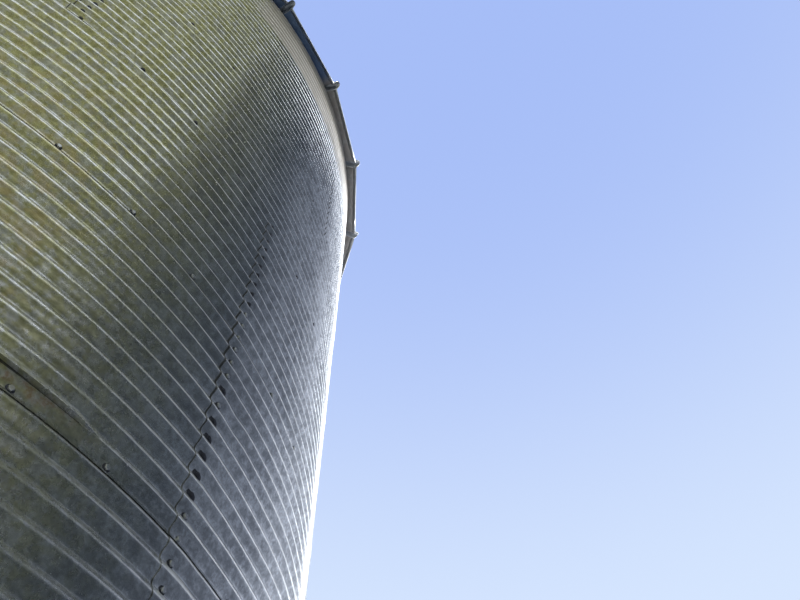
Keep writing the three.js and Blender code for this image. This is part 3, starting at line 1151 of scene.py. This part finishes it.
def hem_finish(colours):
    """Lighter zinc of the eave's hem and of the ribs, streaked with dust, with some painted shade under
    the eave.
    """
    s = Surface("hem_and_ribs_with_painted_shade")
    upright = s.node("ShaderNodeMapping", Vector=s.place, Scale=(1.0, 1.0, 0.2)).outputs[0]
    streaks = s.noise(40.0, place=upright)
    zinc = s.mix(s.noise(60.0), colours.dull_zinc, colours.zinc)
    dust = s.between(streaks, 0.48, 0.75, 0.0, 0.6)
    colour = s.mix(s.times(eave_painted_shade(s), 0.35), s.mix(dust, zinc, colours.dust), colours.shade)
    return s.finish(colour, s.plus(0.32, s.times(dust, 0.3)), s.between(dust, 0.0, 1.0, 0.75, 0.2))


def fitting_finish(colours):
    """Dull zinc of bolt heads, collar, cap and foot angle, with a little rust."""
    s = Surface("dull_zinc_fitting")
    rust = s.between(s.noise(45.0, 5.0, 0.65), 0.55, 0.75)
    zinc = s.mix(s.noise(90.0), colours.dull_zinc, colours.zinc)
    colour = s.mix(s.times(rust, 0.5), zinc, colours.rust)
    return s.finish(colour, s.plus(0.38, s.times(rust, 0.3)), s.between(rust, 0.0, 1.0, 0.9, 0.3))


def washer_finish():
    """Dark weathered rubber of the sealing washers."""
    s = Surface("sealing_washer")
    return s.finish(s.mix(s.noise(120.0), *RUBBER_COLOURS), 0.75, 0.0)


# Studio


# A round studio flag that the camera doesn't see: its top edge slants up between two azimuths and
# drops again at azimuth 0
FLAG_PLACE = (3.07, -3.87, 0.0)
FLAG_RADIUS = 2.35
FLAG_HEIGHT = 6.40
FLAG_SLANT_AZIMUTHS = (230.0, 268.0)
FLAG_SLANT = 1.5
FLAG_STEPS = 96
# Tones in which the flag glows, from its -Y side, -1, to its +Y side, 1
FLAG_TONES = (
    (-0.40, (0.20, 0.20, 0.145)),
    (0.00, (0.13, 0.138, 0.115)),
    (0.30, (0.088, 0.104, 0.102)),
    (0.52, (0.072, 0.09, 0.12)),
    (0.71, (0.30, 0.33, 0.41)),
    (0.80, (0.78, 0.83, 0.96)),
    (0.90, (0.85, 0.90, 1.02)),
)
KEY_ANGLE = math.radians(1.5)
KEY_COLOUR = (1.0, 0.96, 0.88)
# Height of the sky's lower edge, as the sine of its elevation, on the -Y and the +Y side, and how far
# it fades to each side
NEAR_SKYLINE = 0.80
FAR_SKYLINE = 0.22
SKYLINE_SOFTNESS = 0.10
# Where the parts of the surround pass into each other, in the parts of a unit direction, and for the
# haze in the cosine of the angle to the key light
BESIDE_FLAG = (-0.20, 0.22)
NEAR_TO_FAR = (-0.35, 0.15)
HAZE_SPREAD = (0.55, 0.97)
FAR_SKY = (0.12, 0.42)
SKYLINE_CLIMB = (-0.55, 0.25)
BACKDROP_CLIMB = (0.45, 1.0)
FLOOR_REACH = 60.0
FLOOR_COLOUR = (0.40, 0.40, 0.39, 1.0)
FLOOR_ROUGHNESS = 0.9


def add_camera(studio):
    """A camera close under the wall, looking steeply up along it."""
    data = bpy.data.cameras.new("silo_camera")
    data.lens = studio.lens
    data.sensor_width = 36.0
    data.clip_start = 0.05
    data.clip_end = 300.0
    turn, tilt, roll = studio.heading, studio.elevation, studio.roll
    level = Vector((math.cos(turn), -math.sin(turn), 0.0))
    ahead = Vector((math.sin(turn), math.cos(turn), 0.0)) * math.cos(tilt)
    ahead.z = math.sin(tilt)
    upright = level.cross(ahead)
    right = level * math.cos(roll) + upright * math.sin(roll)
    up = upright * math.cos(roll) - level * math.sin(roll)
    camera = bpy.data.objects.new("silo_camera", data)
    basis = Matrix((right, up, -ahead)).transposed().to_4x4()
    place = direction(math.degrees(studio.azimuth)) * studio.distance
    place.z = studio.height
    camera.matrix_world = Matrix.Translation(place) @ basis
    bpy.context.scene.collection.objects.link(camera)
    bpy.context.scene.camera = camera


def key_way(studio):
    """Unit direction from the silo to the key light."""
    level = math.cos(studio.key_elevation)
    return Vector((
        level * math.sin(studio.key_heading),
        level * math.cos(studio.key_heading),
        math.sin(studio.key_elevation),
    ))


def add_key_light(studio):
    """A distant key light, which the flag keeps off most of the near side."""
    data = bpy.data.lights.new("key_light", "SUN")
    data.energy = studio.key_strength
    data.angle = KEY_ANGLE
    data.color = KEY_COLOUR
    light = bpy.data.objects.new("key_light", data)
    light.rotation_euler = key_way(studio).to_track_quat("Z", "Y").to_euler()
    bpy.context.scene.collection.objects.link(light)


def add_surround(studio):
    """A plain backdrop for the camera, and a soft sky over darker surroundings for the light."""
    world = bpy.data.worlds.new("studio_surround")
    world.use_nodes = True
    world.cycles.sampling_method = "NONE"
    n = Nodes(world.node_tree)
    way = n.node("ShaderNodeTexCoord").outputs["Generated"]
    rightwards, backwards, upwards = n.split(way)
    near = n.mix(n.between(rightwards, *BESIDE_FLAG), studio.near_side, studio.beside_flag)
    low_light = n.mix(n.between(backwards, *NEAR_TO_FAR), near, studio.far_side)
    to_key = n.node("ShaderNodeVectorMath")
    to_key.operation = "DOT_PRODUCT"
    n.feed(to_key.inputs[0], way)
    n.feed(to_key.inputs[1], key_way(studio))
    sky = n.mix(n.between(to_key.outputs["Value"], *HAZE_SPREAD), studio.sky, studio.haze)
    sky = n.mix(n.between(backwards, *FAR_SKY), sky, studio.far_sky)
    skyline = n.between(backwards, *SKYLINE_CLIMB, NEAR_SKYLINE, FAR_SKYLINE)
    over = n.math("SUBTRACT", upwards, skyline)
    light = n.mix(n.between(over, -SKYLINE_SOFTNESS, SKYLINE_SOFTNESS), low_light, sky)
    backdrop = n.mix(n.between(upwards, *BACKDROP_CLIMB), studio.low_backdrop, studio.backdrop)
    seen = n.node("ShaderNodeLightPath").outputs["Is Camera Ray"]
    n.feed(n.tree.nodes["Background"].inputs["Color"], n.mix(seen, light, backdrop))
    bpy.context.scene.world = world


def stage_object(name, points, faces, material):
    """A studio thing that isn't part of the silo."""
    mesh = bpy.data.meshes.new(name)
    mesh.from_pydata(points, [], faces)
    mesh.materials.append(material)
    thing = bpy.data.objects.new(name, mesh)
    bpy.context.scene.collection.objects.link(thing)
    return thing


def add_floor():
    """A wide, plain pale floor."""
    material = bpy.data.materials.new("pale_floor")
    material.use_nodes = True
    shader = material.node_tree.nodes["Principled BSDF"]
    shader.inputs["Base Color"].default_value = FLOOR_COLOUR
    shader.inputs["Roughness"].default_value = FLOOR_ROUGHNESS
    turns = ((-1, -1), (1, -1), (1, 1), (-1, 1))
    corners = [(x * FLOOR_REACH, y * FLOOR_REACH, 0.0) for x, y in turns]
    stage_object("floor", corners, [[0, 1, 2, 3]], material)


def flag_cloth():
    """A finish that shines in the flag's tones and lights nothing by itself."""
    material = bpy.data.materials.new("flag_cloth")
    material.use_nodes = True
    material.cycles.emission_sampling = "NONE"
    n = Nodes(material.node_tree)
    n.tree.nodes.clear()
    y = n.split(n.node("ShaderNodeTexCoord").outputs["Object"])[1]
    ramp = n.node("ShaderNodeValToRGB", Fac=n.math("MULTIPLY_ADD", y, 0.5 / FLAG_RADIUS, 0.5))
    stops = ramp.color_ramp.elements
    while len(stops) < len(FLAG_TONES):
        stops.new(0.5)
    for stop, (place, tone) in zip(stops, FLAG_TONES):
        stop.position = 0.5 + 0.5 * place
        stop.color = (*tone, 1.0)
    light = n.node("ShaderNodeEmission", Color=ramp.outputs[0], Strength=1.0)
    n.node("ShaderNodeOutputMaterial", Surface=light.outputs[0])
    return material


def add_flag():
    """A tall, round studio flag out of the camera's sight, which glows in dark and pale tones that the
    silo mirrors.
    """
    azimuths = np.linspace(0.0, 360.0, FLAG_STEPS, endpoint=False)
    top = FLAG_HEIGHT + FLAG_SLANT * smooth_step(*FLAG_SLANT_AZIMUTHS, azimuths)
    points, faces = [], []
    for edge in (0.0 * top, top):
        for azimuth, z in zip(azimuths, edge):
            points.append(tuple(direction(azimuth) * FLAG_RADIUS + Vector((0, 0, float(z)))))
    for i in range(FLAG_STEPS):
        ahead = (i + 1) % FLAG_STEPS
        faces.append([i, ahead, FLAG_STEPS + ahead, FLAG_STEPS + i])
    flag = stage_object("dark_flag", points, faces, flag_cloth())
    flag.location = FLAG_PLACE
    flag.visible_camera = False


# Operators


class SILO_OT_wall(bpy.types.Operator):
    """Build the corrugated wall sheets"""

    bl_idname = "silo.wall"
    bl_label = "Wall sheets"

    def execute(self, context):
        sizes = context.scene.silo_wall
        material = wall_finish(context.scene.silo_colours, sizes)
        for ring in range(RING_COUNT):
            for half in HALVES:
                build_half_ring(sizes, ring, half, material)
        return {"FINISHED"}


class SILO_OT_bolts(bpy.types.Operator):
    """Bolt the ring laps, the upright seams and the foot"""

    bl_idname = "silo.bolts"
    bl_label = "Bolts"

    def execute(self, context):
        wall, bolts = context.scene.silo_wall, context.scene.silo_bolts
        materials = [washer_finish(), fitting_finish(context.scene.silo_colours)]
        pitch = RING_HEIGHT / wall.corrugations
        for ring in range(RING_COUNT):
            places = ring_lap_places(wall, bolts, ring) + seam_places(wall, ring)
            build_bolts(f"wall_bolts_{ring + 1}", bolts, places, materials, pitch)
        build_bolts("anchor_bolts", bolts, anchor_places(), materials, pitch)
        return {"FINISHED"}


class SILO_OT_roof(bpy.types.Operator):
    """Build the roof panels with their ribs and eave lips"""

    bl_idname = "silo.roof"
    bl_label = "Roof panels"

    def execute(self, context):
        colours = context.scene.silo_colours
        materials = [roof_finish(colours), hem_finish(colours)]
        for index in range(PANEL_COUNT):
            build_roof_panel(context.scene.silo_roof, index, materials)
        return {"FINISHED"}


class SILO_OT_peak(bpy.types.Operator):
    """Build the peak collar and its cap"""

    bl_idname = "silo.peak"
    bl_label = "Peak"

    def execute(self, context):
        material = fitting_finish(context.scene.silo_colours)
        build_peak_collar(context.scene.silo_roof, material)
        build_peak_cap(material)
        return {"FINISHED"}


class SILO_OT_foot(bpy.types.Operator):
    """Build the foot angle"""

    bl_idname = "silo.foot"
    bl_label = "Foot angle"

    def execute(self, context):
        build_foot(fitting_finish(context.scene.silo_colours))
        return {"FINISHED"}


class SILO_OT_stage(bpy.types.Operator):
    """Set up the camera, the floor and the studio light"""

    bl_idname = "silo.stage"
    bl_label = "Studio"

    def execute(self, context):
        studio = context.scene.silo_studio
        add_camera(studio)
        add_key_light(studio)
        add_surround(studio)
        add_floor()
        add_flag()
        context.scene.view_settings.view_transform = "Standard"
        return {"FINISHED"}


class SILO_PT_panel(bpy.types.Panel):
    """Buttons for every part of the silo"""

    bl_label = "Grain silo"
    bl_idname = "SILO_PT_panel"
    bl_space_type = "VIEW_3D"
    bl_region_type = "UI"
    bl_category = "Silo"

    def draw(self, context):
        for operator in OPERATORS:
            self.layout.operator(operator.bl_idname)


GROUPS = {
    "silo_wall": WallSizes,
    "silo_bolts": BoltSizes,
    "silo_roof": RoofSizes,
    "silo_colours": FinishColours,
    "silo_studio": StudioSizes,
}
OPERATORS = (SILO_OT_stage, SILO_OT_wall, SILO_OT_bolts, SILO_OT_roof, SILO_OT_peak, SILO_OT_foot)


def register():
    """Adds the settings, the operators and the panel to Blender."""
    for group in GROUPS.values():
        bpy.utils.register_class(group)
    for operator in OPERATORS:
        bpy.utils.register_class(operator)
    bpy.utils.register_class(SILO_PT_panel)
    for name, group in GROUPS.items():
        setattr(bpy.types.Scene, name, PointerProperty(type=group))


def unregister():
    """Takes them out again."""
    for name in GROUPS:
        delattr(bpy.types.Scene, name)
    bpy.utils.unregister_class(SILO_PT_panel)
    for operator in reversed(OPERATORS):
        bpy.utils.unregister_class(operator)
    for group in reversed(GROUPS.values()):
        bpy.utils.unregister_class(group)


def main():
    """Builds the studio and the silo."""
    register()
    bpy.ops.silo.stage()
    bpy.ops.silo.wall()
    bpy.ops.silo.bolts()
    bpy.ops.silo.roof()
    bpy.ops.silo.peak()
    bpy.ops.silo.foot()


if __name__ == "__main__":
    main()
